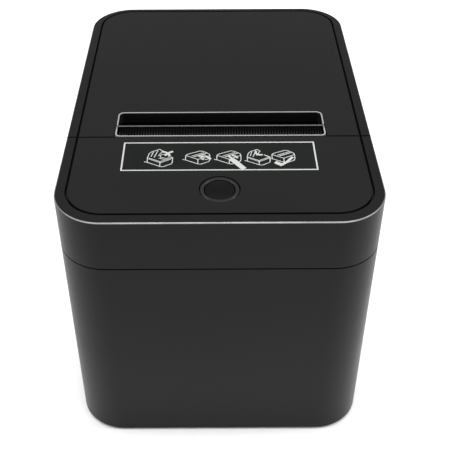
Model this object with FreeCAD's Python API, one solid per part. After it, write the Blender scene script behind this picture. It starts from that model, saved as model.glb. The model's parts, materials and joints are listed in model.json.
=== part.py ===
"""Thermal receipt printer for 80 mm paper: a cube-shaped casing with a drop-in paper bucket.

Millimetres. +X is to the right, +Y to the rear and +Z up. The origin is at the middle of the
footprint, on the surface that the printer stands on. The rear part of the top is a lid, hinged
at the back, that carries the platen roller. The front part of the top is a fixed cover with the
tear bar, the label and the round button that releases the lid. Under it are the print head, the
cutter and the paper feed gears. Each function below makes one sub-part.
"""

import FreeCAD
import Part
import math
import os

V = FreeCAD.Vector
X_AXIS, Y_AXIS, Z_AXIS = V(1, 0, 0), V(0, 1, 0), V(0, 0, 1)

# Casing
width, depth, height = 123.1, 168.8, 120.6
corner_radius = 19.1
wall = 2.4
edge_round = 0.7  # rounding of the casing's top and bottom outer edges
casing_floor = 1.0  # the feet hold the casing this far off the table
half_x, half_y = width / 2, depth / 2

# Seams
seam_z = 98.0  # the level seam round the casing, between its lower and upper parts
seam_gap = 0.6
lid_front = -30.6  # the lid's front edge
cover_rear = -31.3  # the front cover's rear edge
lap_inset = 1.4  # the front cover laps over a lip on the lower casing
lap_height = 1.7
lap_gap = 0.2

# Top panels, set in a recess with a groove round them
groove_outer = 3.9
groove_inner = 4.9
groove_front_extra = 0.6  # the groove is this much further in at the front
groove_rear_extra = -1.3  # and this much further out at the rear
panel_floor = 118.2  # the recess's floor
panel_gap = 0.1
deck_under = 115.8  # underside of the lid's and the front cover's top wall

# Paper slot
slot_left, slot_right = -41.5, 42.9
slot_rear = -13.2
slot_round = 2.0
slot_step = -22.3  # in front of this the slot is wider, for the tear bar
slot_widening = 0.9
trim_width = 0.5
trim_base = height - 0.25  # the trims are thin: they only show as lines
tear_front, tear_rear = -30.45, -22.8
tear_left, tear_right = -42.1, 43.4

# Label and button
label_half = 38.0
label_y = (-53.6, -34.8)
label_recess = 0.2
label_thickness = 0.15
button_y = -65.1
button_radius = 5.7
ring_inner, ring_outer = 6.0, 7.4
panel_hole = 7.8
tear_screw_y = -35.0

# Lid hinge, at the rear edge
hinge_y, hinge_z = 78.2, 96.8
barrel_radius = 6.1
barrel_half = 55.5
ear_x = (30.5, 36.0)
ear_gap_x = (30.0, 36.5)
pin_radius = 1.5

# Paper bucket
bucket_y, bucket_z = 28.0, 56.0
bucket_radius = 41.0
bucket_half = 42.0
bucket_wall = 2.0

# Print mechanism
platen_y, platen_z = -15.0, 93.6
platen_radius = 6.0
platen_half = 41.0
shaft_radius = 2.0
bushing_radius = 4.4
head_shaft_y, head_shaft_z = -27.0, 79.6
head_rear = -21.15
plate_x = (45.2, 46.4)  # the mechanism frame's side plates
arm_x = (47.0, 48.2)  # the release lever's arms
frame_floor = (52.6, 53.8)
running_gap = 0.05  # radial clearance of a shaft in its hole

# Paper feed gears: motor pinion, two-step idler, platen gear
module = 0.8
platen_teeth, idler_small_teeth, idler_big_teeth, feed_pinion_teeth = 24, 20, 40, 12
platen_to_idler = module * (platen_teeth + idler_small_teeth) / 2
idler_to_motor = module * (idler_big_teeth + feed_pinion_teeth) / 2
idler_lean = math.radians(252)  # direction from the platen to the idler, from +Y towards +Z
motor_lean = math.radians(200)  # direction from the idler to the motor
idler_y = platen_y + platen_to_idler * math.cos(idler_lean)
idler_z = platen_z + platen_to_idler * math.sin(idler_lean)
motor_y = idler_y + idler_to_motor * math.cos(motor_lean)
motor_z = idler_z + idler_to_motor * math.sin(motor_lean)
outer_gear_x = (-57.2, -53.7)
inner_gear_x = (-53.2, -49.9)
feed_motor_radius = 14.0

# Cutter: a blade on a rack, its pinion shaft and its motor
rack_module = 1.0
rack_teeth_on_pinion = 10
cutter_gear_teeth, cutter_pinion_teeth = 16, 10
cutter_y = -38.0
rack_line = 102.35
cutter_z = rack_line - rack_module * rack_teeth_on_pinion / 2
cutter_distance = module * (cutter_gear_teeth + cutter_pinion_teeth) / 2
cutter_lean = math.radians(210)
cutter_motor_y = cutter_y + cutter_distance * math.cos(cutter_lean)
cutter_motor_z = cutter_z + cutter_distance * math.sin(cutter_lean)
cutter_motor_radius = 8.0
blade_z = (105.9, 106.9)
cutter_deck = (104.6, 105.8)

# Base, boards and sockets
plate_z = (1.6, 4.0)
foot_radius = 6.0
foot_at = [(x, y) for x in (-44.0, 44.0) for y in (-64.0, 64.0)]
inner_corner = corner_radius - wall
boss_offset = (inner_corner - 3.5) / math.sqrt(2)
boss_at = [
    (sx * (half_x - corner_radius + boss_offset), sy * (half_y - corner_radius + boss_offset))
    for sx in (-1, 1)
    for sy in (-1, 1)
]
leg_at = [(x, y) for x in (-36.0, 36.0) for y in (4.0, 50.0)]
board_thickness = 1.6
rear_board_z = 6.0
frame_screw_at = [(x, y) for x in (-22.0, 22.0) for y in (-58.0, -35.0)]
shelf_leg_at = [(x, -44.0) for x in (-36.0, 36.0)]
rear_post_at = [(x, y) for x in (-38.0, 38.0) for y in (58.9, 77.9)]
main_board_y = -77.9
main_post_at = [(x, z) for x in (-42.0, 42.0) for z in (18.0, 84.0)]
socket_rear = 83.4
sockets = {  # name: (x range, height, length, hole's width, hole's height)
    "power_socket": ((22.0, 36.0), 13.0, 14.0, 9.2, 9.2),
    "drawer_socket": ((5.0, 18.0), 12.0, 17.0, 9.8, 7.4),
    "usb_socket": ((-9.0, 3.0), 11.0, 16.0, 8.6, 8.0),
    "network_socket": ((-30.0, -14.0), 13.4, 21.0, 11.9, 9.0),
}
socket_depth = 9.5
socket_floor = rear_board_z + board_thickness

# Power switch, in the right side wall
switch_y, switch_z = -54.0, 28.0
switch_flange = (60.5, 61.4)
rocker_x = 57.0
rocker_tilt = 8.0


def box(x, y, z):
    """A box between pairs of coordinates."""
    return Part.makeBox(x[1] - x[0], y[1] - y[0], z[1] - z[0], V(x[0], y[0], z[0]))


def rod_x(radius, x, y, z):
    return Part.makeCylinder(radius, x[1] - x[0], V(x[0], y, z), X_AXIS)


def rod_y(radius, y, x, z):
    return Part.makeCylinder(radius, y[1] - y[0], V(x, y[0], z), Y_AXIS)


def rod_z(radius, z, x, y):
    return Part.makeCylinder(radius, z[1] - z[0], V(x, y, z[0]), Z_AXIS)


def slab_x(points, x):
    """A slab with an outline of (y, z) points, between two values of x."""
    corners = [V(x[0], y, z) for y, z in points]
    return Part.Face(Part.makePolygon(corners + corners[:1])).extrude(V(x[1] - x[0], 0, 0))


def slab_z(points, z):
    """A slab with an outline of (x, y) points, between two values of z."""
    corners = [V(x, y, z[0]) for x, y in points]
    return Part.Face(Part.makePolygon(corners + corners[:1])).extrude(V(0, 0, z[1] - z[0]))


def mirrored(shape):
    return shape.mirror(V(0, 0, 0), X_AXIS)


def both_sides(shape):
    return [shape, mirrored(shape)]


def fused(first, *others):
    return first.multiFuse(list(others)).removeSplitter()


def less(shape, *tools):
    return shape.cut(list(tools))


def level_edges(shape, z):
    return [e for e in shape.Edges if max(abs(e.BoundBox.ZMin - z), abs(e.BoundBox.ZMax - z)) < 1e-3]


def upright_edges(shape, lowest_y=-1e3, highest_y=1e3):
    found = []
    for edge in shape.Edges:
        b = edge.BoundBox
        if b.ZLength > 1e-3 and b.XLength < 1e-3 and b.YLength < 1e-3 and lowest_y < b.YMin < highest_y:
            found.append(edge)
    return found


def casing_block(inset, z, top_round=0.0, bottom_round=0.0):
    """The casing's plan outline, drawn in by inset, as an upright block."""
    x, y = half_x - inset, half_y - inset
    block = box((-x, x), (-y, y), z)
    block = block.makeFillet(corner_radius - inset, upright_edges(block))
    if top_round:
        block = block.makeFillet(top_round, level_edges(block, z[1]))
    if bottom_round:
        block = block.makeFillet(bottom_round, level_edges(block, z[0]))
    return block


def recess_block(inset, z):
    """The outline of the top's recess, which is further in at the front than at the sides and the rear."""
    x = half_x - inset
    front, rear = -half_y + inset + groove_front_extra, half_y - inset - groove_rear_extra
    block = box((-x, x), (front, rear), z)
    return block.makeFillet(corner_radius - inset, upright_edges(block))


def behind(y):
    """All the space behind a plane."""
    return box((-half_x - 1, half_x + 1), (y, half_y + 1), (-1, height + 2))


def before(y):
    return box((-half_x - 1, half_x + 1), (-half_y - 1, y), (-1, height + 2))


def screw(x, y, z, head_radius=2.6, shank_radius=1.45, length=10.0, head=1.4):
    """A screw driven upwards, with its cross-recessed head's underside at z."""
    solid = fused(rod_z(head_radius, (z - head, z), x, y), rod_z(shank_radius, (z, z + length), x, y))
    arm, slot = head_radius * 0.6, head_radius * 0.12
    recess = (z - head - 1, z - head * 0.4)
    return less(
        solid,
        box((x - arm, x + arm), (y - slot, y + slot), recess),
        box((x - slot, x + slot), (y - arm, y + arm), recess),
    )


def turned(shape, axis, degrees, centre):
    copy = shape.copy()
    copy.rotate(centre, axis, degrees)
    return copy


def gear(teeth, gear_module, x, y, z, tooth_at, bore=0.0):
    """An involute spur gear with stub teeth. tooth_at is the direction of one tooth, from +Y towards +Z."""
    pressure, backlash, addendum, dedendum, steps = math.radians(20), 0.16, 0.8, 1.1, 5
    pitch_r = gear_module * teeth / 2
    base_r = pitch_r * math.cos(pressure)
    tip_r = pitch_r + addendum * gear_module
    root_r = pitch_r - dedendum * gear_module
    half_pitch = (math.pi * gear_module / 2 - backlash) / 2 / pitch_r

    def half_angle(radius):
        local = math.acos(min(1.0, base_r / radius))
        return half_pitch + math.tan(pressure) - pressure - math.tan(local) + local

    start_r = max(base_r, root_r)
    flank = [start_r + (tip_r - start_r) * k / steps for k in range(steps + 1)]
    side = [(r, half_angle(r)) for r in flank]
    if root_r < base_r:
        side.insert(0, (root_r, side[0][1]))
    points = []
    for tooth in range(teeth):
        middle = tooth_at + 2 * math.pi * tooth / teeth
        for radius, half in [(r, -h) for r, h in side] + side[::-1]:
            points.append((y + radius * math.cos(middle + half), z + radius * math.sin(middle + half)))
    solid = slab_x(points, x)
    return less(solid, rod_x(bore, (x[0] - 1, x[1] + 1), y, z)) if bore else solid


def coil(radius, wire, length, turns, sides=12):
    """A coil spring along +Z from the origin, with its wire drawn as a many-sided bar."""
    helix = Part.makeHelix(length / turns, length, radius)
    corners = []
    for k in range(sides):
        angle = 2 * math.pi * k / sides
        corners.append(V(radius + wire / 2 * math.cos(angle), 0, wire / 2 * math.sin(angle)))
    section = Part.makePolygon(corners + corners[:1])
    return Part.Wire(helix).makePipeShell([section], True, True)


def slot_outline(z, extra=0.0):
    """The slot's plan: open at the front, where it widens for the tear bar, and rounded at its rear corners."""
    rear = slot_rear + extra
    block = box((slot_left - extra, slot_right + extra), (lid_front - 3, rear), z)
    block = block.makeFillet(slot_round + extra, upright_edges(block, lowest_y=rear - 1))
    wide = (slot_left - slot_widening, slot_right + slot_widening)
    return fused(block, box(wide, (lid_front - 3, slot_step), z))


# ---------------------------------------------------------------- casing


def hinge_ears():
    """Two ears on the lower casing's rear wall, which carry the hinge pins."""
    radius, reach = 5.8, 0.5
    column = (hinge_y - radius, hinge_y + reach)
    foot = [
        (column[0], hinge_z),
        (column[0], 84.0),
        (half_y - wall + 0.1, 74.0),
        (half_y - wall + 0.1, 89.0),
        (column[1], 89.0),
        (column[1], hinge_z),
    ]
    ear = fused(slab_x(foot, ear_x), rod_x(radius, ear_x, hinge_y, hinge_z))
    ear = less(ear, rod_x(pin_radius + running_gap, (ear_x[0] - 1, ear_x[1] + 1), hinge_y, hinge_z))
    return both_sides(ear)


def lower_casing():
    top = seam_z - seam_gap / 2
    clear = 0.5
    shell = casing_block(0, (casing_floor, top), bottom_round=edge_round)
    shell = less(shell, casing_block(wall, (casing_floor - 1, top + 1)))
    lip = less(casing_block(lap_inset, (top - 1, top + lap_height)), casing_block(wall, (top - 2, top + 3)))
    lip = lip.common(before(cover_rear - 1))
    bosses = []
    for x, y in boss_at:
        boss = less(rod_z(4.0, (plate_z[1], 28.0), x, y), rod_z(1.5, (plate_z[1] - 1, 24.0), x, y))
        bosses.append(boss.common(casing_block(0.5, (plate_z[1], 40.0))))
    posts = []
    for x, z in main_post_at:
        post = less(
            rod_y(3.0, (-half_y + wall - 0.5, main_board_y), x, z), rod_y(1.0, (main_board_y - 3, -60), x, z)
        )
        posts.append(post)
    shell = fused(shell, lip, *bosses, *posts)
    relief = [
        rod_x(barrel_radius + clear, (-barrel_half - clear, barrel_half + clear), hinge_y, hinge_z),
        box((-half_x, half_x), (hinge_y - clear, half_y + 1), (89.3, height)),
    ]
    openings = []
    for span, tall, _, _, _ in sockets.values():
        openings.append(
            box(
                (span[0] - clear, span[1] + clear),
                (half_y - 5, half_y + 1),
                (socket_floor - clear, socket_floor + tall + clear),
            )
        )
    openings.append(box((55, half_x + 1), (switch_y - 7, switch_y + 7), (switch_z - 10, switch_z + 10)))
    openings.append(
        box((switch_flange[0], half_x + 1), (switch_y - 8, switch_y + 8), (switch_z - 11, switch_z + 11))
    )
    shell = less(shell, *relief, *openings)
    return fused(shell, *hinge_ears())


def base_plate():
    plate = casing_block(wall + 0.25, plate_z)
    cuts = [rod_z(foot_radius + 0.1, (0, plate_z[0] + 1.0), x, y) for x, y in foot_at]
    for x, y in boss_at + leg_at + shelf_leg_at:
        cuts.append(rod_z(2.8, (0, plate_z[0] + 1.5), x, y))
        cuts.append(rod_z(1.6, (0, plate_z[1] + 1), x, y))
    slots, pitch = 7, 6.0
    for k in range(slots):
        y = -30.0 + pitch * (k - slots // 2)
        for x in (-14.0, 14.0):
            cuts.append(box((x - 9, x + 9), (y - 1.2, y + 1.2), (0, plate_z[1] + 1)))
    plate = less(plate, *cuts)
    posts = []
    for x, y in rear_post_at:
        posts.append(less(rod_z(2.5, (plate_z[1] - 0.5, rear_board_z), x, y), rod_z(1.0, (4.5, 9.0), x, y)))
    return fused(plate, *posts)


def feet():
    pads = []
    for x, y in foot_at:
        pad = rod_z(foot_radius, (0, plate_z[0] + 1.0), x, y)
        pads.append(pad.makeFillet(0.5, level_edges(pad, 0)))
    return pads


def casing_screws():
    return [screw(x, y, plate_z[0] + 1.5) for x, y in boss_at + leg_at + shelf_leg_at]


def front_cover():
    bottom = seam_z + seam_gap / 2
    cover = casing_block(0, (bottom, height), top_round=edge_round)
    cover = less(
        cover,
        casing_block(wall, (bottom - 1, deck_under)),
        casing_block(lap_inset - lap_gap, (bottom - 1, bottom - seam_gap + lap_height + lap_gap)),
        recess_block(groove_outer, (panel_floor, height + 1)),
        rod_z(9.1, (deck_under - 1, height), 0, button_y),
        *[rod_z(1.05, (deck_under - 1, deck_under + 1.8), x, tear_screw_y) for x in (-34.0, 34.0)],
    )
    cover = cover.common(before(cover_rear))
    posts = []
    for x in (-18.0, 18.0):
        post = rod_z(2.5, (107.7, deck_under + 0.5), x, button_y - 4.4)
        posts.append(less(post, rod_z(0.9, (106.0, 112.6), x, button_y - 4.4)))
    return fused(cover, *posts)


def front_panel():
    panel = recess_block(groove_inner, (panel_floor + panel_gap, height)).common(before(cover_rear))
    label_bed = box(
        (-label_half - 0.1, label_half + 0.1),
        (label_y[0] - 0.1, label_y[1] + 0.1),
        (height - label_recess, height + 1),
    )
    return less(panel, label_bed, rod_z(panel_hole, (panel_floor, height + 1), 0, button_y))


def instruction_label():
    bed = height - label_recess
    return box((-label_half, label_half), label_y, (bed, bed + label_thickness))


def lid_shell():
    bottom = seam_z + seam_gap / 2
    shell = casing_block(0, (bottom, height), top_round=edge_round)
    shell = less(
        shell,
        casing_block(wall, (bottom - 1, deck_under)),
        recess_block(groove_outer, (panel_floor, height + 1)),
        slot_outline((deck_under - 1, height + 1)),
    )
    screw_holes = [rod_z(1.1, (deck_under - 1, deck_under + 1.8), x, y) for x, y in liner_screw_at]
    shell = less(shell.common(behind(lid_front)), *ear_gaps(), *screw_holes)
    pin = rod_x(pin_radius + 0.02, (27.8, 38.7), hinge_y, hinge_z)
    return less(fused(shell, lid_barrel()), *both_sides(pin))


def ear_gaps():
    return both_sides(rod_x(barrel_radius + 0.5, ear_gap_x, hinge_y, hinge_z))


def lid_barrel():
    """The rounded rear edge that the lid turns on: hollow, with solid walls beside the pins and at the ends."""
    solid = rod_x(barrel_radius, (-barrel_half, barrel_half), hinge_y, hinge_z)
    solid = solid.common(casing_block(0.2, (80.0, 110.0)))
    hollow = []
    for x in ((-28.0, 28.0), (38.5, 50.0), (-50.0, -38.5)):
        hollow.append(rod_x(barrel_radius - 2.0, x, hinge_y, hinge_z))
        hollow.append(box(x, (hinge_y - barrel_radius - 1, hinge_y), (hinge_z, hinge_z + barrel_radius + 1)))
    return less(less(solid, *hollow), *ear_gaps())


def lid_panel():
    panel = recess_block(groove_inner, (panel_floor + panel_gap, height)).common(behind(lid_front))
    opening = slot_outline((panel_floor, height + 1))
    return less(panel, opening, slot_outline((trim_base, height + 1), trim_width))


def lid_slot_trim():
    """A thin bright line round the rear of the slot."""
    outer = slot_outline((trim_base, height), trim_width)
    return less(outer, slot_outline((trim_base - 1, height + 1))).common(behind(slot_step))


# ---------------------------------------------------------------- lid's inner parts

liner_x, liner_y = 54.0, (-3.0, 68.0)
liner_screw_at = [(x, y) for x in (-47.0, 47.0) for y in (6.0, 59.0)]


def lid_liner():
    """The lid's inner cover: an upside-down tray with an arched face that clears the paper roll."""
    bottom, arch_radius, skin = 102.5, 60.0, 2.0
    arch_y = sum(liner_y) / 2
    arch_z = 112.6 - arch_radius
    rib_height, rib_width = 1.2, 1.0
    outer = box((-liner_x, liner_x), liner_y, (bottom, deck_under))
    inside = box((-liner_x + skin, liner_x - skin), (liner_y[0] + skin, liner_y[1] - skin), (90.0, deck_under + 1))
    pocket = less(inside, rod_x(arch_radius + skin, (-liner_x - 1, liner_x + 1), arch_y, arch_z))
    arch = rod_x(arch_radius, (-liner_x - 1, liner_x + 1), arch_y, arch_z)
    posts = [
        rod_z(4.0, (bottom + 4, deck_under), x, y) for x, y in liner_screw_at
    ]
    tray = less(outer, pocket)
    tray = less(fused(tray, *posts), arch)
    ribs = []
    for x in (-30.0, -10.0, 10.0, 30.0):
        rib = rod_x(arch_radius + 0.5, (x - rib_width / 2, x + rib_width / 2), arch_y, arch_z)
        rib = less(rib, rod_x(arch_radius - rib_height, (x - 2, x + 2), arch_y, arch_z))
        ribs.append(rib.common(box((-liner_x, liner_x), (liner_y[0] + 3, liner_y[1] - 3), (bottom, deck_under))))
    holes = []
    for x, y in liner_screw_at:
        holes.append(rod_z(1.2, (bottom, deck_under + 1), x, y))
        holes.append(rod_z(2.7, (bottom, 112.1), x, y))
    return less(fused(tray, *ribs), *holes)


def lid_screws():
    return [screw(x, y, 112.1, head_radius=2.4, shank_radius=1.05, length=5.2) for x, y in liner_screw_at]


def lid_beam():
    """The cross beam behind the slot: it guides the paper and holds the fixed blade."""
    outline = [
        (slot_rear + 1.5, deck_under),
        (-16.5, 107.6),
        (-10.5, 107.6),
        (-10.5, 104.6),
        (-18.5, 104.6),
        (-18.5, 103.2),
        (-14.5, 101.2),
        (-5.0, 101.2),
        (-5.0, deck_under),
    ]
    pocket = box((-40.0, 40.0), (-8.5, -4.0), (103.2, 113.8))
    return less(slab_x(outline, (-42.2, 42.2)), pocket)


def fixed_blade():
    return box((-41.5, 41.5), (-20.2, -10.7), (104.6, 105.7))


def platen_brackets():
    """Two brackets that hold the platen's bushings, each with a catch for the release lever."""
    x = (42.6, 44.4)
    outline = [
        (-19.6, platen_z),
        (-19.6, 103.6),
        (slot_rear + 0.5, 109.6),
        (slot_rear + 0.5, deck_under),
        (-4.0, deck_under),
        (-4.0, 99.6),
        (-9.5, 91.1),
    ]
    catch = box((x[0], 48.4), (-21.4, -19.0), (97.8, 99.4))
    bracket = fused(slab_x(outline, x), rod_x(6.0, x, platen_y, platen_z), catch)
    return both_sides(less(bracket, rod_x(bushing_radius, (x[0] - 1, x[1] + 1), platen_y, platen_z)))


def platen_bushings():
    bush = rod_x(bushing_radius, (41.6, 48.4), platen_y, platen_z)
    collar = rod_x(bushing_radius + 0.8, (41.6, 42.6), platen_y, platen_z)
    bore = rod_x(shaft_radius + running_gap, (40.0, 50.0), platen_y, platen_z)
    return both_sides(less(fused(bush, collar), bore))


def hinge_pins():
    return both_sides(rod_x(pin_radius, (27.9, 38.6), hinge_y, hinge_z))


def platen_roller():
    roller = rod_x(platen_radius, (-platen_half, platen_half), platen_y, platen_z)
    return less(roller, rod_x(shaft_radius, (-platen_half - 1, platen_half + 1), platen_y, platen_z))


def platen_shaft():
    return rod_x(shaft_radius, (-53.4, 49.2), platen_y, platen_z)


def platen_gear():
    gap_at = idler_lean + math.pi / platen_teeth
    return gear(platen_teeth, module, inner_gear_x, platen_y, platen_z, gap_at, bore=shaft_radius)


# ---------------------------------------------------------------- tear bar and button


def tear_bar():
    """A block in front of the slot, with a row of ridges that slope up to saw teeth at its rear edge."""
    outline = [
        (tear_rear, trim_base),
        (tear_front, trim_base),
        (tear_front, deck_under),
        (-39.0, deck_under),
        (-39.0, 113.8),
        (-25.6, 113.8),
        (-25.6, 108.6),
        (tear_rear, 108.6),
    ]
    block = slab_x(outline, (tear_left, tear_right))
    well = (tear_front + trim_width, tear_rear - trim_width)
    well_x = (tear_left + trim_width, tear_right - trim_width)
    block = less(block, box(well_x, well, (117.0, height)))
    count, pitch, tip, valley, base = 76, 1.1, 120.1, 119.2, 116.4
    start = (tear_left + tear_right - count * pitch) / 2
    end = start + count * pitch
    points = [(start, base)]
    for k in range(count):
        points.append((start + k * pitch, valley))
        points.append((start + (k + 0.5) * pitch, tip))
    points += [(end, valley), (end, base)]
    corners = [V(x, well[1], z) for x, z in points]
    ridges = Part.Face(Part.makePolygon(corners + corners[:1])).extrude(V(0, well[0] - well[1], -1.4))
    holes = [rod_z(1.1, (112.0, 117.0), x, tear_screw_y) for x in (-34.0, 34.0)]
    return less(fused(block, ridges), *holes)


def tear_bar_trim():
    """A thin bright frame round the tear bar's top."""
    z = (trim_base, height)
    outer = box((tear_left, tear_right), (tear_front, tear_rear), z)
    outer = outer.makeFillet(slot_round, upright_edges(outer, highest_y=tear_front + 1))
    x = (tear_left + trim_width, tear_right - trim_width)
    y = (tear_front + trim_width, tear_rear - trim_width)
    inner = box(x, y, (z[0] - 1, z[1] + 1))
    inner = inner.makeFillet(slot_round - trim_width, upright_edges(inner, highest_y=y[0] + 1))
    return less(outer, inner)


def button_ring():
    """The light guide round the button."""
    ring = fused(
        rod_z(ring_outer, (114.1, height), 0, button_y), rod_z(8.8, (116.6, panel_floor), 0, button_y)
    )
    ring = less(ring, rod_z(ring_inner, (113.0, height + 1), 0, button_y))
    return ring.makeChamfer(0.3, level_edges(ring, height))


def button_cap():
    top, dish = height - 0.3, 0.5
    cap = rod_z(button_radius, (112.8, top), 0, button_y)
    cap = cap.makeFillet(0.4, level_edges(cap, top))
    sphere_radius = (button_radius**2 + dish**2) / (2 * dish)
    cap = less(cap, Part.makeSphere(sphere_radius, V(0, button_y, top - dish + sphere_radius)))
    flange = rod_z(6.8, (112.8, 113.8), 0, button_y)
    stem = rod_z(2.2, (98.3, 112.9), 0, button_y)
    return fused(cap, flange, stem)


def button_spring():
    spring = coil(3.3, 0.5, 4.2, 4)
    spring.translate(V(0, button_y, 108.1))
    return spring


def button_board():
    board = box((-22.0, 22.0), (button_y - 9.4, button_y + 8.6), (106.1, 107.7))
    holes = [rod_z(1.1, (105.0, 109.0), x, button_y - 4.4) for x in (-18.0, 18.0)]
    return less(board, rod_z(2.7, (105.0, 109.0), 0, button_y), *holes)


def button_leds():
    leds = []
    for k in range(4):
        angle = math.pi / 4 + k * math.pi / 2
        x, y = 6.6 * math.cos(angle), button_y + 6.6 * math.sin(angle)
        leds.append(box((x - 0.8, x + 0.8), (y - 0.8, y + 0.8), (107.7, 108.7)))
    return leds


def latch_lever():
    """The release lever: a cross bar under the button and two arms that hook the lid's catches."""
    arm = [
        (-67.1, 97.8),
        (-63.1, 97.8),
        (-54.0, 93.6),
        (-31.5, 85.1),
        (-27.0, 87.6),
        (-26.0, 101.6),
        (-20.6, 101.6),
        (-20.6, 99.6),
        (-22.8, 99.0),
        (-23.2, 86.6),
        (-23.0, 78.6),
        (-25.0, 75.6),
        (-29.5, 75.6),
        (-58.0, 89.0),
        (-67.1, 93.6),
    ]
    hole = rod_x(pin_radius + running_gap, (arm_x[0] - 1, arm_x[1] + 1), head_shaft_y, head_shaft_z)
    arms = both_sides(less(slab_x(arm, arm_x), hole))
    bar = box((-arm_x[1], arm_x[1]), (-67.1, -63.1), (95.8, 97.8))
    return fused(bar, *arms)


# ---------------------------------------------------------------- paper bucket


def paper_bucket():
    """A trough for the roll, with its end walls, the rims round it, a shelf for the mechanism and four legs."""
    outer_radius = bucket_radius + bucket_wall
    outer_half = bucket_half + bucket_wall
    front, rear = bucket_y - outer_radius, bucket_y + outer_radius
    front_top, rear_top, end_top = 76.0, 88.0, 94.0
    far = outer_half + 1
    tub = fused(
        rod_x(outer_radius, (-outer_half, outer_half), bucket_y, bucket_z),
        box((-outer_half, outer_half), (front, rear), (bucket_z, end_top)),
    )
    room = fused(
        rod_x(bucket_radius, (-bucket_half, bucket_half), bucket_y, bucket_z),
        box(
            (-bucket_half, bucket_half),
            (bucket_y - bucket_radius, bucket_y + bucket_radius),
            (bucket_z, end_top + 20),
        ),
    )
    trims = [
        box((-far, far), (front - 1, rear + 1), (end_top, 120.0)),
        box((-far, far), (front - 1, bucket_y - bucket_radius + 0.01), (front_top, 120.0)),
        box((-far, far), (bucket_y + bucket_radius - 0.01, rear + 1), (rear_top, 120.0)),
        box((-far, far), (front - 1, -5.5), (83.0, 120.0)),
    ]
    rim_inset = wall + 0.3
    side_y = (6.0, bucket_y + bucket_radius)
    side = casing_block(rim_inset, (end_top - 2.0, end_top))
    side = side.common(box((bucket_half, half_x), side_y, (90.0, 95.0)))
    cover = casing_block(rim_inset, (end_top - 2.0, end_top))
    cover = cover.common(box((50.0, half_x), (lid_front, side_y[0] + 0.1), (90.0, 95.0)))
    step = casing_block(rim_inset, (rear_top - 2.0, end_top))
    step = step.common(box((bucket_half, half_x), (side_y[1] - 2.0, side_y[1]), (85.0, 95.0)))
    rear_rim = casing_block(rim_inset, (rear_top - 2.0, rear_top)).common(behind(side_y[1] - 2.0))
    rear_rim = less(
        rear_rim,
        box((-bucket_half, bucket_half), (0.0, bucket_y + bucket_radius), (80.0, 95.0)),
        *both_sides(box(ear_gap_x, (hinge_y - 6.4, half_y), (80.0, 95.0))),
    )
    shelf = box((-50.0, 50.0), (-66.0, front + 4.0), (frame_floor[0] - 2.5, frame_floor[0]))
    shelf = less(shelf, box((-13.0, 13.0), (-24.0, -21.0), (45.0, 55.0)))
    legs = [rod_z(3.5, (plate_z[1], 40.0), x, y) for x, y in leg_at]
    shelf_legs = [rod_z(3.5, (plate_z[1], frame_floor[0]), x, y) for x, y in shelf_leg_at]
    body = fused(tub, shelf, *both_sides(side), *both_sides(step), cover, rear_rim, *legs, *shelf_legs)
    holes = [rod_z(1.5, (plate_z[1] - 1, 14.0), x, y) for x, y in leg_at + shelf_leg_at]
    holes += [rod_z(1.05, (45.0, 55.0), x, y) for x, y in frame_screw_at]
    return less(body, room, *trims, *holes)


# ---------------------------------------------------------------- print mechanism


def mechanism_frame():
    """A folded steel frame: floor, two side plates with a notch for the platen, and a bar for the head springs."""
    plate = [
        (-62.0, frame_floor[0]),
        (-62.0, 89.6),
        (-53.0, 89.6),
        (-50.0, cutter_deck[0]),
        (-25.5, cutter_deck[0]),
        (-25.5, 97.1),
        (-6.0, 97.1),
        (-6.0, 84.6),
        (-16.0, 70.6),
        (-32.0, frame_floor[0]),
    ]
    notch_half = bushing_radius + 0.2
    side = slab_x(plate, plate_x)
    side = less(
        side,
        rod_x(notch_half, (40.0, 50.0), platen_y, platen_z),
        box((40.0, 50.0), (platen_y - notch_half, platen_y + notch_half), (platen_z, 110.0)),
        rod_x(pin_radius + 0.02, (40.0, 50.0), head_shaft_y, head_shaft_z),
    )
    left = less(
        mirrored(side),
        rod_x(4.0, (-50.0, -40.0), motor_y, motor_z),
        rod_x(pin_radius, (-50.0, -40.0), idler_y, idler_z),
    )
    right = less(side, rod_x(shaft_radius + running_gap, (40.0, 50.0), cutter_y, cutter_z))
    floor = box((-plate_x[0], plate_x[0]), (-62.0, -32.0), frame_floor)
    floor = less(floor, *[rod_z(1.2, (50.0, 60.0), x, y) for x, y in frame_screw_at])
    spring_bar = box((-plate_x[0], plate_x[0]), (-35.2, -34.0), (83.6, 89.6))
    return fused(floor, left, right, spring_bar)


def frame_screws():
    screws = []
    for x, y in frame_screw_at:
        one = screw(x, y, -frame_floor[1], head_radius=2.2, shank_radius=1.0, length=4.5, head=1.3)
        screws.append(turned(one, X_AXIS, 180, V(0, y, 0)))
    return screws


def head_shaft():
    return rod_x(pin_radius, (-49.2, 49.2), head_shaft_y, head_shaft_z)


def idler_stud():
    stud = rod_x(pin_radius, (-58.2, -plate_x[0]), idler_y, idler_z)
    return fused(stud, rod_x(2.6, (-49.5, -plate_x[1]), idler_y, idler_z))


def idler_gear():
    big = gear(idler_big_teeth, module, outer_gear_x, idler_y, idler_z, motor_lean)
    small_x = (outer_gear_x[1] - 0.1, inner_gear_x[1])
    small = gear(idler_small_teeth, module, small_x, idler_y, idler_z, idler_lean + math.pi)
    bore = rod_x(pin_radius + running_gap, (-60.0, -40.0), idler_y, idler_z)
    relief = less(rod_x(12.5, (-58.0, -56.2), idler_y, idler_z), rod_x(4.0, (-59.0, -50.0), idler_y, idler_z))
    return less(fused(big, small), bore, relief)


def feed_motor():
    body = rod_x(feed_motor_radius, (-plate_x[0], -29.2), motor_y, motor_z)
    body = body.makeFillet(1.0, [e for e in body.Edges if e.BoundBox.XMin > -30.0])
    boss = rod_x(3.8, (-46.2, -plate_x[0] + 0.1), motor_y, motor_z)
    return less(fused(body, boss), rod_x(pin_radius + running_gap, (-50.0, -36.0), motor_y, motor_z))


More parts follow.
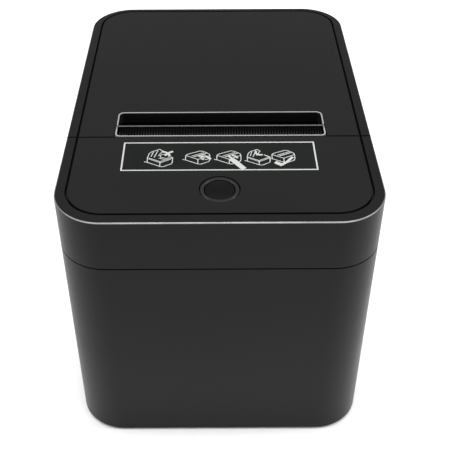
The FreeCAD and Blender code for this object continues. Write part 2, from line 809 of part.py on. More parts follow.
def feed_pinion():
    gap_at = motor_lean + math.pi + math.pi / feed_pinion_teeth
    pinion = gear(feed_pinion_teeth, module, (-57.6, -53.3), motor_y, motor_z, gap_at)
    return fused(pinion, rod_x(pin_radius, (-57.6, -36.5), motor_y, motor_z))


def head_heatsink():
    """The aluminium block behind the print line. It swings on the head shaft."""
    body = box((-42.0, 42.0), (-27.4, -21.95), (82.1, 99.6))
    fins, pitch = 4, 2.6
    grooves = []
    for k in range(fins):
        z = 91.4 + pitch * (k - 1)
        grooves.append(box((-43.0, 43.0), (-28.0, -25.0), (z - 0.6, z + 0.6)))
    ear = fused(
        rod_x(2.8, (22.0, 26.0), head_shaft_y, head_shaft_z),
        box((22.0, 26.0), (head_shaft_y - 0.4, head_shaft_y + 2.8), (head_shaft_z, 83.0)),
    )
    holes = rod_x(pin_radius + running_gap, (-45.0, 45.0), head_shaft_y, head_shaft_z)
    cable_room = box((-12.6, 12.6), (-23.6, -21.9), (82.0, 86.2))
    return less(fused(body, *both_sides(ear)), holes, cable_room, *grooves)


def head_ceramic():
    return box((-41.5, 41.5), (-21.95, head_rear), (85.6, 99.6))


def head_springs():
    springs = []
    for x in (-25.0, 25.0):
        spring = coil(2.5, 0.6, 5.9, 5)
        spring.rotate(V(0, 0, 0), X_AXIS, 90)
        spring.translate(V(x, -27.75, 86.6))
        springs.append(spring)
    return springs


def latch_spring():
    spring = coil(2.05, 0.4, 6.0, 8)
    spring.rotate(V(0, 0, 0), Y_AXIS, 90)
    spring.translate(V(29.0, head_shaft_y, head_shaft_z))
    return spring


def head_cable():
    """The flat cable from the print head down to the main board, 24 mm wide."""
    thick, half_width = 0.4, 12.0
    front = [(-22.7, 85.5), (-22.7, 46.0), (-31.0, 42.0), (-71.0, 42.0)]
    rear = [(-22.3, 85.5), (-22.3, 45.7), (-30.9, 42.0 - thick), (-71.0, 42.0 - thick)]
    return slab_x(front + rear[::-1], (-half_width, half_width))


# ---------------------------------------------------------------- cutter


def cutter_frame():
    """The cutter's floor, and under it the plate that carries its motor."""
    floor = box((-46.4, 46.4), (-49.5, -24.0), cutter_deck)
    floor = less(floor, box((33.9, 39.1), (-49.0, -26.4), (103.6, 106.6)))
    plate = [
        (-56.0, 84.6),
        (-56.0, cutter_deck[0] + 0.1),
        (-32.0, cutter_deck[0] + 0.1),
        (-32.0, 93.1),
        (-41.0, 84.6),
    ]
    bracket = less(
        slab_x(plate, (26.5, 28.0)),
        rod_x(shaft_radius + running_gap, (20.0, 30.0), cutter_y, cutter_z),
        rod_x(3.0, (20.0, 30.0), cutter_motor_y, cutter_motor_z),
    )
    return fused(floor, bracket)


def cutter_guides():
    rail = box((41.0, 45.0), (-48.0, -25.5), (cutter_deck[1], 108.0))
    return both_sides(fused(rail, box((39.6, 42.0), (-48.0, -25.5), (107.1, 108.0))))


def moving_blade():
    """The blade's cutting edge is a shallow V, so that it meets the fixed blade from both ends."""
    rear, front, half = -23.2, -48.5, 40.5
    notch = [(38.5, rear), (0.0, rear - 5.0), (-38.5, rear)]
    return slab_z([(-half, front), (half, front), (half, rear), *notch, (-half, rear)], blade_z)


def blade_rack():
    """A rack under the blade, with a space centred over the pinion."""
    x, y = (34.5, 38.5), (cutter_y - 10.0, cutter_y + 3.4)
    pitch = math.pi * rack_module
    tip, root = rack_line - 0.8 * rack_module, rack_line + 1.1 * rack_module
    lean = math.tan(math.radians(20))
    half = (pitch / 2 - 0.16) / 2
    points = [(y[0], blade_z[0]), (y[0], root)]
    for k in range(-3, 1):
        middle = cutter_y + (k + 0.5) * pitch
        points.append((middle - half - lean * (root - rack_line), root))
        points.append((middle - half + lean * (rack_line - tip), tip))
        points.append((middle + half - lean * (rack_line - tip), tip))
        points.append((middle + half + lean * (root - rack_line), root))
    points += [(y[1], root), (y[1], blade_z[0])]
    return slab_x(points, x)


def cutter_shaft():
    return rod_x(shaft_radius, (26.3, plate_x[1]), cutter_y, cutter_z)


def cutter_gears():
    up = math.pi / 2
    pinion = gear(rack_teeth_on_pinion, rack_module, (34.3, 38.7), cutter_y, cutter_z, up, bore=shaft_radius)
    wheel = gear(cutter_gear_teeth, module, (29.4, 33.4), cutter_y, cutter_z, cutter_lean, bore=shaft_radius)
    collar = less(
        rod_x(3.2, (33.3, 34.4), cutter_y, cutter_z), rod_x(shaft_radius, (30.0, 36.0), cutter_y, cutter_z)
    )
    return fused(pinion, wheel, collar)


def cutter_motor():
    body = rod_x(cutter_motor_radius, (2.0, 26.5), cutter_motor_y, cutter_motor_z)
    body = body.makeFillet(1.0, [e for e in body.Edges if e.BoundBox.XMax < 3.0])
    return less(body, rod_x(1.05, (16.0, 30.0), cutter_motor_y, cutter_motor_z))


def cutter_pinion():
    gap_at = cutter_lean + math.pi + math.pi / cutter_pinion_teeth
    pinion = gear(cutter_pinion_teeth, module, (29.2, 33.6), cutter_motor_y, cutter_motor_z, gap_at)
    return fused(pinion, rod_x(1.0, (16.5, 33.6), cutter_motor_y, cutter_motor_z))


# ---------------------------------------------------------------- boards, sockets and switch


def main_board():
    board = box((-47.0, 47.0), (main_board_y, main_board_y + board_thickness), (12.0, 90.0))
    return less(board, *[rod_y(1.2, (-80.0, -60.0), x, z) for x, z in main_post_at])


def main_board_parts():
    """The processor, memory, driver chips, capacitors and cable connectors on the main board."""
    face = main_board_y + board_thickness
    chips = [
        box((-7.0, 7.0), (face, face + 1.4), (60.0, 74.0)),
        box((14.0, 24.0), (face, face + 1.2), (62.0, 70.0)),
        box((-28.0, -18.0), (face, face + 1.2), (62.0, 72.0)),
        box((-34.0, -24.0), (face, face + 1.4), (30.0, 36.0)),
    ]
    cans = [rod_y(5.0, (face, face + 10.0), x, 24.0) for x in (22.0, 34.0)]
    plugs = [
        box((-13.0, 13.0), (face, face + 5.6), (39.0, 44.5)),
        box((-40.0, -28.0), (face, face + 6.0), (48.0, 54.0)),
        box((28.0, 38.0), (face, face + 6.0), (48.0, 54.0)),
    ]
    plugs[0] = less(plugs[0], box((-12.1, 12.1), (face + 5.2, face + 6.0), (41.5, 42.1)))
    return chips + cans + plugs


def main_board_screws():
    screws = []
    for x, z in main_post_at:
        one = screw(0, 0, 0, head_radius=2.2, shank_radius=0.95, length=4.0, head=1.3)
        one.rotate(V(0, 0, 0), X_AXIS, 90)
        one.translate(V(x, main_board_y + board_thickness, z))
        screws.append(one)
    return screws


def rear_board():
    board = box((-42.0, 42.0), (55.4, 81.4), (rear_board_z, rear_board_z + board_thickness))
    return less(board, *[rod_z(1.2, (5.0, 9.0), x, y) for x, y in rear_post_at])


def rear_board_screws():
    screws = []
    for x, y in rear_post_at:
        one = screw(x, y, 0, head_radius=2.0, shank_radius=0.95, length=2.8, head=1.2)
        one = turned(one, X_AXIS, 180, V(0, y, 0))
        one.translate(V(0, 0, socket_floor))
        screws.append(one)
    return screws


def socket(name):
    span, tall, long, hole_width, hole_height = sockets[name]
    x = sum(span) / 2
    z = socket_floor + tall / 2
    rear = (socket_rear - socket_depth, socket_rear + 1)
    body = box(span, (socket_rear - long, socket_rear), (socket_floor, socket_floor + tall))
    if name == "power_socket":
        body = less(body, rod_y(hole_width / 2, rear, x, z))
        pins = []
        for k in range(3):
            angle = math.radians(90 + 120 * k)
            pins.append(
                rod_y(0.6, (rear[0] - 0.5, rear[0] + 3.5), x + 2.4 * math.cos(angle), z + 2.4 * math.sin(angle))
            )
        return fused(body, *pins)
    hole = box((x - hole_width / 2, x + hole_width / 2), rear, (z - hole_height / 2, z + hole_height / 2))
    return less(body, hole)


def switch_body():
    y, z = switch_y, switch_z
    flange = box(switch_flange, (y - 7.8, y + 7.8), (z - 10.8, z + 10.8))
    body = box((46.0, switch_flange[0] + 0.1), (y - 6.8, y + 6.8), (z - 9.8, z + 9.8))
    pocket = box((53.0, 62.0), (y - 5.8, y + 5.8), (z - 8.9, z + 8.9))
    axle_holes = rod_y(1.05, (y - 7.0, y + 7.0), rocker_x, z)
    contacts = [box((42.0, 46.1), (y - 0.4, y + 0.4), (z + dz - 2.4, z + dz + 2.4)) for dz in (-5.0, 5.0)]
    return less(fused(flange, body, *contacts), pocket, axle_holes)


def switch_rocker():
    """The rocker, drawn level and then tipped to its off position."""
    z = switch_z
    outline = [
        (-1.9, -4.0),
        (1.9, -8.2),
        (2.9, -8.2),
        (2.1, 0),
        (2.9, 8.2),
        (1.9, 8.2),
        (-1.9, 4.0),
    ]
    corners = [V(rocker_x + across, switch_y - 5.5, z + up) for across, up in outline]
    rocker = Part.Face(Part.makePolygon(corners + corners[:1])).extrude(V(0, 11.0, 0))
    rocker = fused(rocker, rod_y(1.0, (switch_y - 6.4, switch_y + 6.4), rocker_x, z))
    return turned(rocker, Y_AXIS, rocker_tilt, V(rocker_x, 0, z))


# ---------------------------------------------------------------- output

makers = [
    lower_casing, base_plate, feet, casing_screws, front_cover, front_panel, instruction_label,
    lid_shell, lid_panel, lid_slot_trim, lid_liner, lid_screws, lid_beam, fixed_blade,
    platen_brackets, platen_bushings, hinge_pins, platen_roller, platen_shaft, platen_gear,
    tear_bar, tear_bar_trim, button_ring, button_cap, button_spring, button_board, button_leds,
    latch_lever, latch_spring, paper_bucket, mechanism_frame, frame_screws, head_shaft,
    idler_stud, idler_gear, feed_motor, feed_pinion, head_heatsink, head_ceramic, head_springs,
    head_cable, cutter_frame, cutter_guides, moving_blade, blade_rack, cutter_shaft,
    cutter_gears, cutter_motor, cutter_pinion, main_board, main_board_parts, main_board_screws,
    rear_board, rear_board_screws, switch_body, switch_rocker,
]  # fmt: skip


def make_all():
    """Every sub-part by name."""
    shapes = {maker.__name__: maker() for maker in makers}
    shapes.update({name: socket(name) for name in sockets})
    return {name: Part.makeCompound(s) if isinstance(s, list) else s for name, s in shapes.items()}


def main():
    os.makedirs("parts", exist_ok=True)
    for name, shape in make_all().items():
        shape.exportStep(f"parts/{name}.step")
        print(f"{name}: {len(shape.Solids)} solids, {shape.Volume / 1000:.2f} cm3, valid {shape.isValid()}")


main()
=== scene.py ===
"""Thermal receipt printer: materials, printed label and fine detail round the CAD frame. Metres."""

import json
import math

import bmesh
import bpy
from mathutils import Matrix, Vector
from mathutils.bvhtree import BVHTree


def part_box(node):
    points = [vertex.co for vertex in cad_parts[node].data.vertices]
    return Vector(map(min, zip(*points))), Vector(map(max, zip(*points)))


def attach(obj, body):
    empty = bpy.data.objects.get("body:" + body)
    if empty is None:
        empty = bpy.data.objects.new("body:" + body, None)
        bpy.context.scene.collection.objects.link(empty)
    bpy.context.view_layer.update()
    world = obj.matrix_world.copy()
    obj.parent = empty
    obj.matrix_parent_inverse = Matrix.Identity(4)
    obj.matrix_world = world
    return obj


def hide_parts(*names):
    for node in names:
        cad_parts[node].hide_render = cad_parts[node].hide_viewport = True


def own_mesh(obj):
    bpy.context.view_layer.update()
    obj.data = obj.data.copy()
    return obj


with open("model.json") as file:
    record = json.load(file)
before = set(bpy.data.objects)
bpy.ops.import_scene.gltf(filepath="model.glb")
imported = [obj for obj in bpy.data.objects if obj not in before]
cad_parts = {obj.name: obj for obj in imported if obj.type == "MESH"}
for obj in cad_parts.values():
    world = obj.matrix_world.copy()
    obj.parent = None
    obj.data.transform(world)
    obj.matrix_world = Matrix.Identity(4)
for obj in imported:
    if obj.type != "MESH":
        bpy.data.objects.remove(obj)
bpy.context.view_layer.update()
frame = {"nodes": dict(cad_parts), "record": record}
nodes = frame["nodes"]
MM = 0.001


# ---------------------------------------------------------------- materials


class Shader:
    """A material with a principled shader, and short ways to add nodes to it."""

    def __init__(self, name, color, rough, metallic=0.0, specular=0.5, coat=0.0, coat_rough=0.1):
        self.material = bpy.data.materials.new(name)
        self.material.use_nodes = True
        self.tree = self.material.node_tree
        self.shader = next(n for n in self.tree.nodes if n.type == "BSDF_PRINCIPLED")
        self.set("Base Color", (*color, 1.0))
        self.set("Roughness", rough)
        self.set("Metallic", metallic)
        self.set("Specular IOR Level", specular)
        self.set("Coat Weight", coat)
        self.set("Coat Roughness", coat_rough)
        self.color, self.rough = color, rough
        coordinates = self.add("ShaderNodeTexCoord")
        self.place, self.facing = coordinates.outputs["Object"], coordinates.outputs["Normal"]

    def set(self, socket, value):
        self.shader.inputs[socket].default_value = value

    def add(self, kind, **values):
        node = self.tree.nodes.new(kind)
        for key, value in values.items():
            if hasattr(node, key):
                setattr(node, key, value)
            else:
                node.inputs[key.replace("_", " ")].default_value = value
        return node

    def link(self, output, target, socket=0):
        self.tree.links.new(output, target.inputs[socket])
        return target

    def times(self, output, factor):
        """The output times a number or another output."""
        product = self.link(output, self.add("ShaderNodeMath", operation="MULTIPLY"))
        if isinstance(factor, float):
            product.inputs[1].default_value = factor
        else:
            self.link(factor, product, 1)
        return product.outputs[0]

    def stretched(self, scale):
        """Object coordinates scaled by a different amount along each axis."""
        node = self.add("ShaderNodeMapping")
        node.inputs["Scale"].default_value = scale
        self.link(self.place, node, "Vector")
        return node.outputs["Vector"]

    def noise(self, scale, detail=2.0, vector=None):
        node = self.add("ShaderNodeTexNoise", Scale=scale, Detail=detail, Roughness=0.5)
        self.link(vector or self.place, node, "Vector")
        return node.outputs["Fac"]

    def ramp(self, factor, stops):
        node = self.add("ShaderNodeValToRGB")
        ramp = node.color_ramp
        while len(ramp.elements) < len(stops):
            ramp.elements.new(0.5)
        for element, (at, value) in zip(ramp.elements, stops):
            element.position = at
            element.color = value if isinstance(value, tuple) else (value, value, value, 1.0)
        self.link(factor, node, "Fac")
        return node.outputs["Color"]

    def vary_color(self, factor, amount, low=0.3, high=0.7):
        """Base colour from darker to lighter as the factor goes from low to high."""
        dark = tuple(max(0.0, c * (1 - amount)) for c in self.color) + (1.0,)
        light = tuple(min(1.0, c * (1 + amount)) for c in self.color) + (1.0,)
        self.feed("Base Color", self.ramp(factor, [(low, dark), (high, light)]))

    def vary_rough(self, factor, amount):
        """Roughness from smoother to rougher, by the amount each way."""
        low, high = max(0.02, self.rough - amount), min(1.0, self.rough + amount)
        self.feed("Roughness", self.ramp(factor, [(0.3, low), (0.7, high)]))

    def mix(self, factor, first, second):
        """A colour between two others, each a socket or a value."""
        node = self.add("ShaderNodeMix")
        node.data_type = "RGBA"
        self.link(factor, node, 0)
        for index, value in ((6, first), (7, second)):
            if isinstance(value, bpy.types.NodeSocket):
                self.link(value, node, index)
            else:
                node.inputs[index].default_value = value
        return node.outputs[2]

    def feed(self, socket, output):
        """Links an output to one of the shader's sockets."""
        self.link(output, self.shader, socket)

    def source(self, name):
        """What feeds one of the shader's sockets."""
        return self.shader.inputs[name].links[0].from_socket

    def blend_in(self, socket, factor, value):
        """Mixes another colour or grey value into what feeds a socket."""
        self.feed(socket, self.mix(factor, self.source(socket), (*value, 1.0)))

    def axes(self, vector=None):
        """The X, Y and Z outputs of a vector, or of the object coordinates."""
        return self.link(vector or self.place, self.add("ShaderNodeSeparateXYZ"), "Vector").outputs

    def absolute(self, output):
        return self.link(output, self.add("ShaderNodeMath", operation="ABSOLUTE")).outputs[0]

    def share(self, output, zero, one):
        """How far the output has gone from one value to another, from 0 to 1."""
        node = self.link(output, self.add("ShaderNodeMapRange"), "Value")
        node.inputs["From Min"].default_value, node.inputs["From Max"].default_value = zero, one
        return node.outputs["Result"]

    def bump(self, factor, depth):
        node = self.add("ShaderNodeBump", Strength=1.0, Distance=depth)
        self.link(factor, node, "Height")
        self.feed("Normal", node.outputs["Normal"])


def moulded_shader(name, color, rough, grain_mm, depth_mm, specular):
    """Plastic with a spark-eroded grain, ready for more."""
    s = Shader(name, color, rough, specular=specular)
    s.vary_color(s.noise(9.0, 3.0), 0.06)
    s.vary_rough(s.noise(23.0, 3.0), 0.04)
    s.bump(s.noise(1.0 / (grain_mm * MM), 2.0), depth_mm * MM)
    return s


def moulded(name, color, rough, grain_mm=0.25, depth_mm=0.012, specular=0.5):
    """Moulded plastic of one colour."""
    return moulded_shader(name, color, rough, grain_mm, depth_mm, specular).material


def casing_plastic(name, color, rough, edge_rough, edge_metal, grain_mm, specular):
    """Matt moulded plastic, paler on its upward faces as painted light from above, whose rounded rims
    are smoother and more reflective and carry a painted highlight, most of all along the front and
    back."""
    s = moulded_shader(name, color, rough, grain_mm, 0.012, specular)
    facing = s.axes(s.facing)
    # Upward faces get a lighter colour: painted light from above.
    painted_top_light = s.ramp(facing["Z"], [(0.96, 0.0), (1.0, 1.0)])
    s.blend_in("Base Color", painted_top_light, [1.35 * c for c in color])
    # A paler colour on the rounded rims is a painted highlight, fading where they face the sides; the
    # same mask also makes the rims smoother and partly metallic.
    rim = s.ramp(facing["Z"], [(0.30, 0.0), (0.42, 1.0), (0.85, 1.0), (0.95, 0.0)])
    ends = s.ramp(s.absolute(facing["X"]), [(0.15, 1.0), (0.55, 0.4)])
    patches = s.ramp(s.noise(120.0, 3.0), [(0.2, 0.75), (0.6, 1.0)])
    # The rims' painted highlight, broken into patches.
    painted_highlight = s.times(s.times(rim, patches), ends)
    s.blend_in("Base Color", painted_highlight, (0.36, 0.36, 0.36))
    s.blend_in("Roughness", painted_highlight, (edge_rough, edge_rough, edge_rough))
    s.feed("Metallic", s.times(painted_highlight, edge_metal))
    return s.material


def brushed(name, color, rough, along):
    """Metal with fine lines along one axis."""
    s = Shader(name, color, rough, metallic=1.0)
    lines = s.noise(900.0, 3.0, s.stretched([0.03 if axis == along else 1 for axis in "xyz"]))
    s.vary_color(lines, 0.06)
    s.vary_rough(lines, 0.08)
    s.bump(lines, 0.004 * MM)
    return s.material


def plated(name, color, rough):
    """Plated or bright drawn metal, faintly cloudy."""
    s = Shader(name, color, rough, metallic=1.0)
    s.vary_color(s.noise(60.0, 4.0), 0.08)
    s.vary_rough(s.noise(150.0, 3.0), 0.07)
    s.bump(s.noise(1500.0, 2.0), 0.004 * MM)
    return s.material


def rubber(name, color, rough, grain_mm=0.4):
    s = Shader(name, color, rough, specular=0.35)
    s.vary_color(s.noise(40.0, 3.0), 0.15)
    s.vary_rough(s.noise(90.0, 2.0), 0.05)
    s.bump(s.noise(1.0 / (grain_mm * MM), 3.0), 0.02 * MM)
    return s.material


def flat_cable(name, film, copper):
    """Amber film with copper conductors 1 mm apart, seen through it."""
    s = Shader(name, film, 0.30)
    one_per_mm = 314.0  # a band repeats every 2 pi / 20 / scale metres
    lines = s.add("ShaderNodeTexWave", bands_direction="X", Scale=one_per_mm, Distortion=0.0)
    s.link(s.place, lines, "Vector")
    bands = s.ramp(lines.outputs["Fac"], [(0.45, (*film, 1.0)), (0.60, (*copper, 1.0))])
    s.feed("Base Color", bands)
    s.vary_rough(s.noise(80.0, 2.0), 0.05)
    s.bump(lines.outputs["Fac"], 0.02 * MM)
    return s.material


def print_head(name, glaze, heater):
    """Glazed ceramic with the dark line of heaters along it, level with the roller's axis."""
    s = Shader(name, glaze, 0.22)
    low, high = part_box("platen_shaft")
    above = s.link(s.axes()["Z"], s.add("ShaderNodeMath", operation="SUBTRACT"))
    above.inputs[1].default_value = (low.z + high.z) / 2
    distance = s.times(s.absolute(above.outputs[0]), 1 / (2 * MM))
    band = s.ramp(distance, [(0.15, (*heater, 1.0)), (0.25, (*glaze, 1.0))])
    s.feed("Base Color", band)
    s.vary_rough(s.noise(60.0, 3.0), 0.06)
    s.bump(s.noise(2000.0, 2.0), 0.002 * MM)
    return s.material


def circuit_board(name, color):
    """Solder mask over a copper pattern of tracks and pads."""
    s = Shader(name, color, 0.32, specular=0.5, coat=0.4, coat_rough=0.12)
    brick = s.add("ShaderNodeTexBrick", Scale=150.0)
    brick.inputs["Mortar Size"].default_value = 0.05
    s.link(s.place, brick, "Vector")
    s.vary_color(brick.outputs["Fac"], 0.35, 0.2, 0.8)
    s.bump(brick.outputs["Fac"], 0.03 * MM)
    return s.material


def tear_trim(name, front, rear):
    """Satin trim, which is darker along its rear side."""
    s = Shader(name, front, 0.42)
    low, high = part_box("tear_bar_trim")
    back = s.share(s.axes()["Y"], low.y, high.y)
    s.feed("Base Color", s.ramp(back, [(0.6, (*front, 1.0)), (0.9, (*rear, 1.0))]))
    s.vary_rough(s.noise(150.0, 3.0), 0.05)
    s.bump(s.noise(6500.0, 2.0), 0.004 * MM)
    return s.material


def tear_ridges(name, color, painted_highlight):
    """Dark plastic whose ridge tips carry a painted highlight, a paler colour towards the front."""
    s = Shader(name, color, 0.42, specular=0.25)
    low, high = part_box("tear_bar_trim")
    slope = 0.21  # how far the tips fall per unit towards the front
    tip_depth = 0.5 * MM  # how far below the trim the tips are at the rear
    axes = s.axes()
    level = s.add("ShaderNodeMath", operation="MULTIPLY_ADD")
    s.link(axes["Y"], level, 0)
    level.inputs[1].default_value = -slope
    s.link(axes["Z"], level, 2)
    tip = high.z - tip_depth - slope * high.y
    tips = s.share(level.outputs[0], tip - 0.3 * MM, tip - 0.1 * MM)
    middle = (low.y + high.y) / 2
    forward = s.share(axes["Y"], middle + MM, middle - MM)
    patches = s.ramp(s.noise(140.0, 2.0), [(0.35, 0.35), (0.6, 1.0)])
    # A paler colour on the tips towards the front: a painted highlight.
    shade = s.mix(s.times(s.times(tips, forward), patches), (*color, 1.0), (*painted_highlight, 1.0))
    s.feed("Base Color", shade)
    s.vary_rough(s.noise(60.0, 3.0), 0.05)
    s.bump(s.noise(5000.0, 2.0), 0.01 * MM)
    return s.material


def label_film(name, color):
    """Dark printed film with a faint sheen."""
    s = Shader(name, color, 0.42, specular=0.15)
    s.vary_color(s.noise(55.0, 2.0), 0.18)
    s.vary_rough(s.noise(160.0, 3.0), 0.05)
    s.bump(s.noise(2600.0, 2.0), 0.004 * MM)
    return s.material


def build_materials():
    """The materials by name: one for each slot in the record, and four for single parts."""
    # After the colour come the roughness and, for moulded, the grain's size and depth in
    # millimetres and the specular level. For casing_plastic they are the rims' roughness and
    # metallic share, the grain's size and the specular level.
    recipes = {
        "black_plastic": (casing_plastic, (0.0080, 0.0080, 0.0082), 0.32, 0.24, 0.3, 0.25, 0.10),
        "panel_plastic": (casing_plastic, (0.0064, 0.0064, 0.0066), 0.48, 0.30, 0.0, 0.22, 0.14),
        "inner_plastic": (moulded, (0.016, 0.016, 0.0165), 0.55, 0.35, 0.012, 0.3),
        # A darker copy of inner_plastic for the beam seen through the slot: painted shade.
        "slot_plastic": (moulded, (0.0020, 0.0020, 0.0022), 0.65, 0.35, 0.012, 0.08),
        "label_film": (label_film, (0.0062, 0.0074, 0.0066)),
        "slot_trim": (moulded, (0.30, 0.30, 0.30), 0.42, 0.15, 0.004),
        "tear_trim": (tear_trim, (0.34, 0.34, 0.34), (0.13, 0.13, 0.13)),
        "label_ink": (moulded, (0.46, 0.47, 0.46), 0.5, 0.2, 0.003),
        # The tear bar's second colour is the painted highlight on its ridge tips.
        "tear_plastic": (tear_ridges, (0.0025, 0.0025, 0.0027), (0.065, 0.065, 0.065)),
        "foot_rubber": (rubber, (0.012, 0.012, 0.012), 0.75),
        "roller_rubber": (rubber, (0.02, 0.02, 0.02), 0.68, 0.2),
        "zinc_steel": (plated, (0.62, 0.62, 0.58), 0.34),
        "bare_steel": (brushed, (0.60, 0.60, 0.60), 0.28, "x"),
        "blade_steel": (brushed, (0.40, 0.40, 0.41), 0.34, "y"),
        "motor_can": (plated, (0.48, 0.48, 0.47), 0.36),
        "spring_steel": (plated, (0.50, 0.50, 0.50), 0.25),
        "heatsink": (brushed, (0.68, 0.68, 0.70), 0.38, "x"),
        "ceramic": (print_head, (0.62, 0.58, 0.50), (0.10, 0.06, 0.04)),
        "gear_acetal": (moulded, (0.66, 0.65, 0.60), 0.38, 0.4, 0.004),
        "motor_brass": (plated, (0.70, 0.52, 0.24), 0.30),
        "circuit_board": (circuit_board, (0.010, 0.085, 0.035)),
        "board_parts": (moulded, (0.014, 0.014, 0.015), 0.45, 0.2),
        "led_lens": (moulded, (0.80, 0.80, 0.66), 0.20, 0.5, 0.002),
        "light_guide": (moulded, (0.016, 0.016, 0.0165), 0.40, 0.2, 0.004, 0.25),
        "button_plastic": (moulded, (0.0025, 0.0025, 0.0027), 0.50, 0.25, 0.012, 0.12),
        "flex_film": (flat_cable, (0.42, 0.22, 0.05), (0.60, 0.34, 0.12)),
        "gold_contact": (plated, (0.83, 0.60, 0.24), 0.25),
        "socket_metal": (plated, (0.60, 0.60, 0.60), 0.30),
        "socket_plastic": (moulded, (0.010, 0.010, 0.010), 0.45, 0.2),
        "switch_plastic": (moulded, (0.008, 0.008, 0.008), 0.30, 0.5),
    }
    return {name: make(name, *values) for name, (make, *values) in recipes.items()}


def dress_cad(materials):
    """Gives every CAD node the material of its slot, or in two places a variant of it."""
    chosen = {part["node"]: part["material_slot"] for part in frame["record"]["subparts"]}
    # The beam seen through the slot takes a darker copy of its plastic: painted shade.
    chosen["lid_beam"] = "slot_plastic"
    chosen["tear_bar_trim"] = "tear_trim"
    for name, material in chosen.items():
        nodes[name].data.materials.clear()
        nodes[name].data.materials.append(materials[material])


# ---------------------------------------------------------------- small pieces


def piece(name, verts, faces, material, body, smooth=False):
    """A mesh piece that rides on a body."""
    mesh = bpy.data.meshes.new(name)
    mesh.from_pydata(verts, [], faces)
    mesh.validate()
    mesh.materials.append(material)
    obj = bpy.data.objects.new(name, mesh)
    bpy.context.scene.collection.objects.link(obj)
    if smooth:
        mesh.shade_smooth()
    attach(obj, body)
    return obj


class Ink:
    """Flat strokes of print, gathered into one mesh lying on a flat surface."""

    layer = 0.0005 * MM  # each stroke is this much thicker than the last, so that crossings are clean

    def __init__(self, origin, right, up, thick):
        self.origin, self.right, self.up = Vector(origin), Vector(right), Vector(up)
        self.out = self.right.cross(self.up).normalized()
        self.thick = thick
        self.verts, self.faces = [], []

    def stroke(self, points, width, closed=False):
        """A line of even width through (x, y) points, in millimetres, mitred at its corners."""
        pts = [Vector(p) for p in points]
        count = len(pts)
        left, right = [], []
        for k, here in enumerate(pts):
            before = pts[k - 1] if k or closed else None
            after = pts[(k + 1) % count] if k < count - 1 or closed else None
            into = (here - before).normalized() if before is not None else (after - here).normalized()
            out = (after - here).normalized() if after is not None else into
            normal = Vector((-(into.y + out.y), into.x + out.x)).normalized()
            reach = width / 2 / max(0.5, normal.dot(Vector((-into.y, into.x))))
            left.append(here + normal * reach)
            right.append(here - normal * reach)
        rails = []
        for side, rise in ((left, 0.0), (left, self.thick), (right, self.thick), (right, 0.0)):
            rails.append([len(self.verts) + k for k in range(count)])
            for x, y in side:
                place = self.origin + self.right * x * MM + self.up * y * MM + self.out * rise
                self.verts.append(tuple(place))
        for k in range(count if closed else count - 1):
            after = (k + 1) % count
            for rail, following in zip(rails, rails[1:] + rails[:1]):
                self.faces.append([rail[k], following[k], following[after], rail[after]])
        if not closed:
            self.faces.append([rail[0] for rail in rails][::-1])
            self.faces.append([rail[-1] for rail in rails])
        self.thick += self.layer

    def make(self, name, material, body, slot):
        return piece(name, self.verts, self.faces, material, body)


class Tubes:
    """Round wires, gathered into one mesh. Straight and bent ones have domed ends."""

    def __init__(self, sides):
        self.sides = sides
        self.verts, self.faces = [], []

    def ring(self, centre, along, radius):
        side = along.orthogonal() if abs(along.x) > 0.9 else along.cross(Vector((1, 0, 0)))
        side.normalize()
        return self.circle(centre, side, along.cross(side), radius)

    def circle(self, centre, side, other, radius):
        first = len(self.verts)
        for k in range(self.sides):
            a = 2 * math.pi * k / self.sides
            self.verts.append(tuple(centre + radius * (math.cos(a) * side + math.sin(a) * other)))
        return first

    def wire(self, points, radius):
        """A wire through the points, in metres."""
        end_radius, end_length = 0.6 * radius, 0.4 * radius
        pts = [Vector(p) for p in points]
        rings = []
        for k, here in enumerate(pts):
            into = (here - pts[k - 1]).normalized() if k else (pts[1] - here).normalized()
            out = (pts[k + 1] - here).normalized() if k < len(pts) - 1 else into
            along = (into + out).normalized()
            if k == 0:
                rings.append(self.ring(here, along, end_radius))
                rings.append(self.ring(here + along * end_length, along, radius))
            elif k == len(pts) - 1:
                rings.append(self.ring(here - along * end_length, along, radius))
                rings.append(self.ring(here, along, end_radius))
            else:
                rings.append(self.ring(here, along, radius))
        self.skin(rings)

    def coil(self, start, axis, radius, wire, length, turns):
        """A round wire wound round an axis, from the start to the length along it."""
        steps = 28
        side = axis.orthogonal().normalized()
        other = axis.cross(side)
        count = steps * turns + 1
        rings = []
        for k in range(count):
            angle = 2 * math.pi * k / steps
            outward = math.cos(angle) * side + math.sin(angle) * other
            forward = math.cos(angle) * other - math.sin(angle) * side
            along = (2 * math.pi * turns * radius * forward + length * axis).normalized()
            centre = start + axis * length * k / (count - 1) + outward * radius
            rings.append(self.circle(centre, outward, along.cross(outward), wire / 2))
        self.skin(rings)

    def skin(self, rings):
        """Faces between the rings and over both ends."""
        n = self.sides
        self.faces.append([rings[0] + k for k in range(n)][::-1])
        for low, high in zip(rings, rings[1:]):
            for k in range(n):
                after = (k + 1) % n
                self.faces.append([low + k, low + after, high + after, high + k])
        self.faces.append([rings[-1] + k for k in range(n)])

    def make(self, name, material, slot):
        return piece(name, self.verts, self.faces, material, "casing", smooth=True)


# ---------------------------------------------------------------- scene


